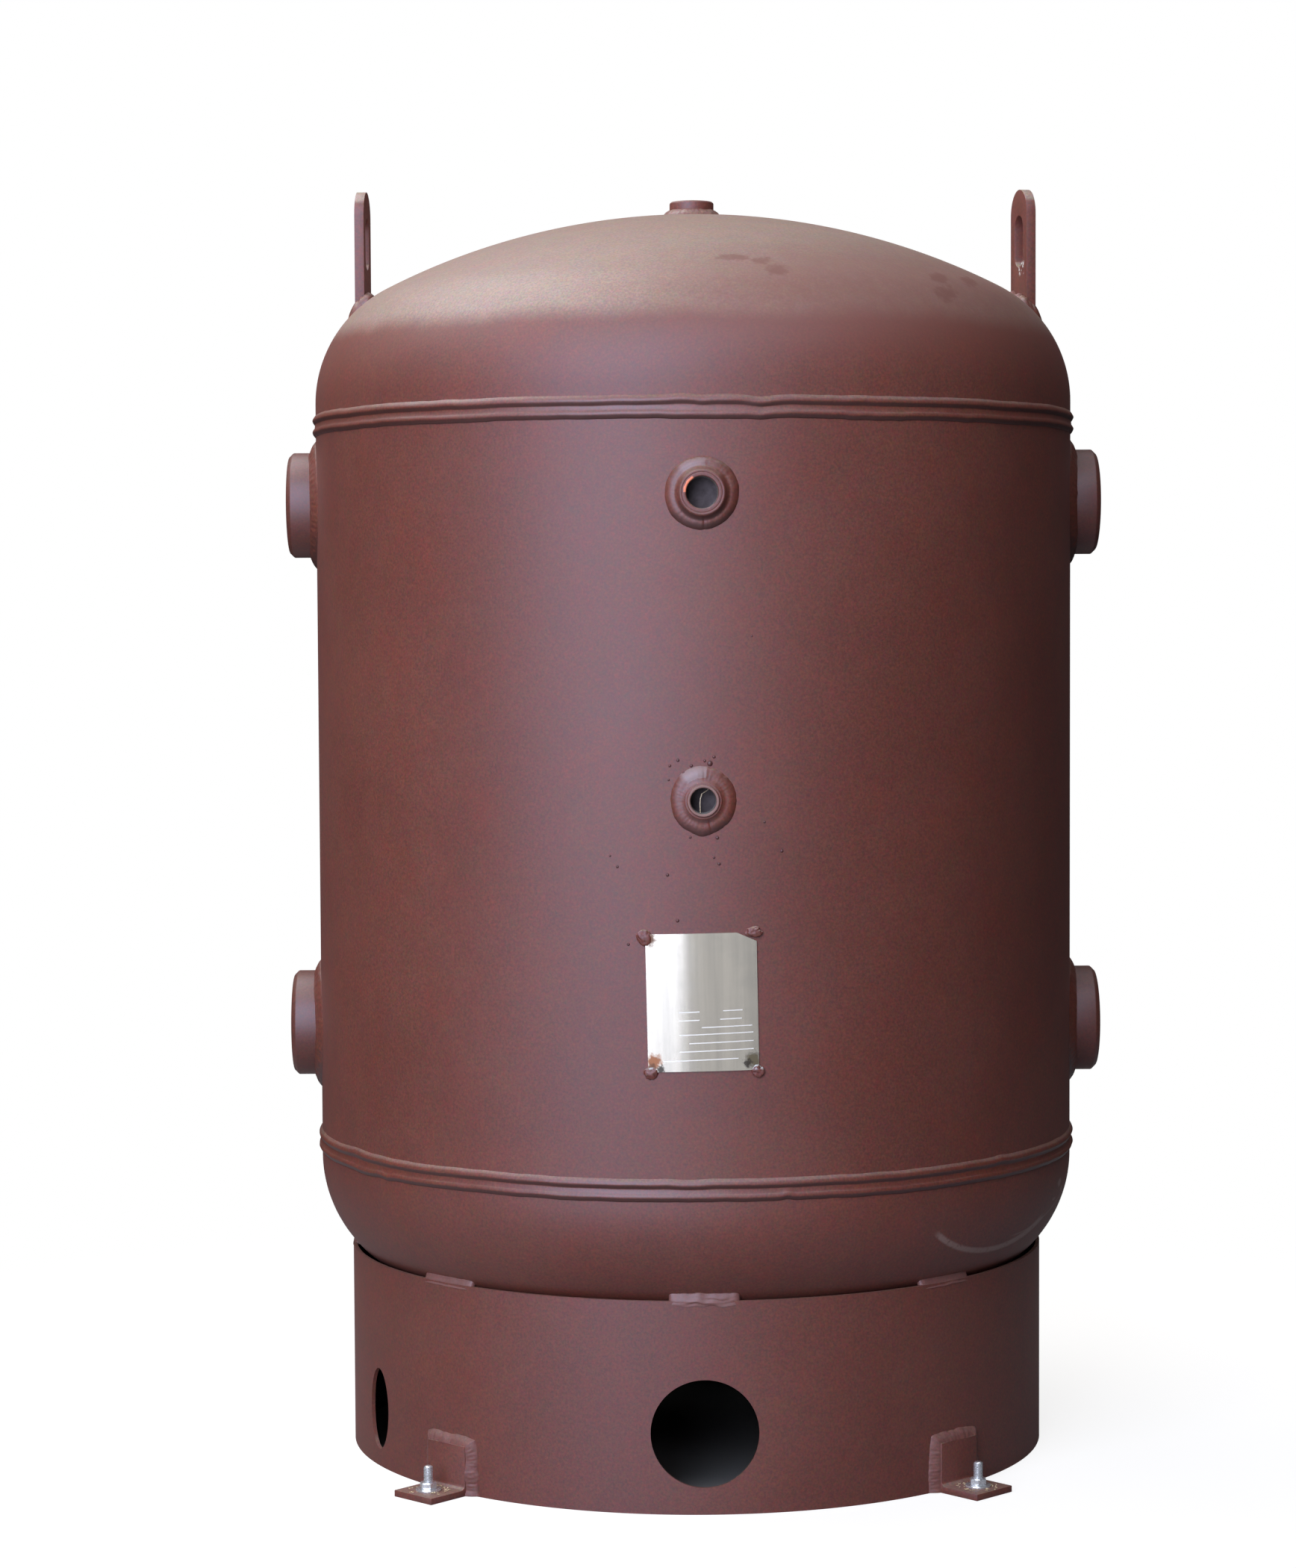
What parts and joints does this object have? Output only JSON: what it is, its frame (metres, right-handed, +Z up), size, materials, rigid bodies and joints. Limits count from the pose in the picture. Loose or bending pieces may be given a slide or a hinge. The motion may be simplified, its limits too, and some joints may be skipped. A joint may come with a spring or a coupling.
{
  "type": "buffer tank",
  "caption": "Vertical carbon-steel buffer tank with dished ends on a ring skirt, with threaded couplings, lifting lugs and angle anchor feet.",
  "frame": {"origin": "on the tank's axis at floor level, the centre of the anchor bolts", "axes": "+Z up the tank's axis, -Y out of the nameplate side, +X to the right of someone facing the nameplate"},
  "size_m": [0.822, 0.7758, 1.2645],
  "materials": {
    "primer": "matte red-oxide primer, dusty on top",
    "nameplate_steel": "brushed stainless, satin"
  },
  "bodies": {
    "root": {"back_left_foot": "primer", "back_left_foot_weld": "primer", "back_right_foot": "primer", "back_right_foot_weld": "primer", "bottom_drain_coupling": "primer", "bottom_drain_coupling_weld": "primer", "bottom_girth_weld": "primer", "bottom_head": "primer", "front_left_foot": "primer", "front_left_foot_weld": "primer", "front_right_foot": "primer", "front_right_foot_weld": "primer", "left_lifting_lug": "primer", "left_lifting_lug_weld": "primer", "long_seam_weld": "primer", "lower_front_coupling": "primer", "lower_front_coupling_weld": "primer", "lower_left_nozzle": "primer", "lower_left_nozzle_weld": "primer", "lower_right_nozzle": "primer", "lower_right_nozzle_weld": "primer", "nameplate": "nameplate_steel", "nameplate_tacks": "primer", "right_lifting_lug": "primer", "right_lifting_lug_weld": "primer", "shell": "primer", "skirt": "primer", "skirt_seam_weld": "primer", "skirt_stitch_welds": "primer", "top_girth_weld": "primer", "top_head": "primer", "top_vent_coupling": "primer", "top_vent_coupling_weld": "primer", "upper_front_coupling": "primer", "upper_front_coupling_weld": "primer", "upper_left_nozzle": "primer", "upper_left_nozzle_weld": "primer", "upper_right_nozzle": "primer", "upper_right_nozzle_weld": "primer"}
  },
  "joints": []
}
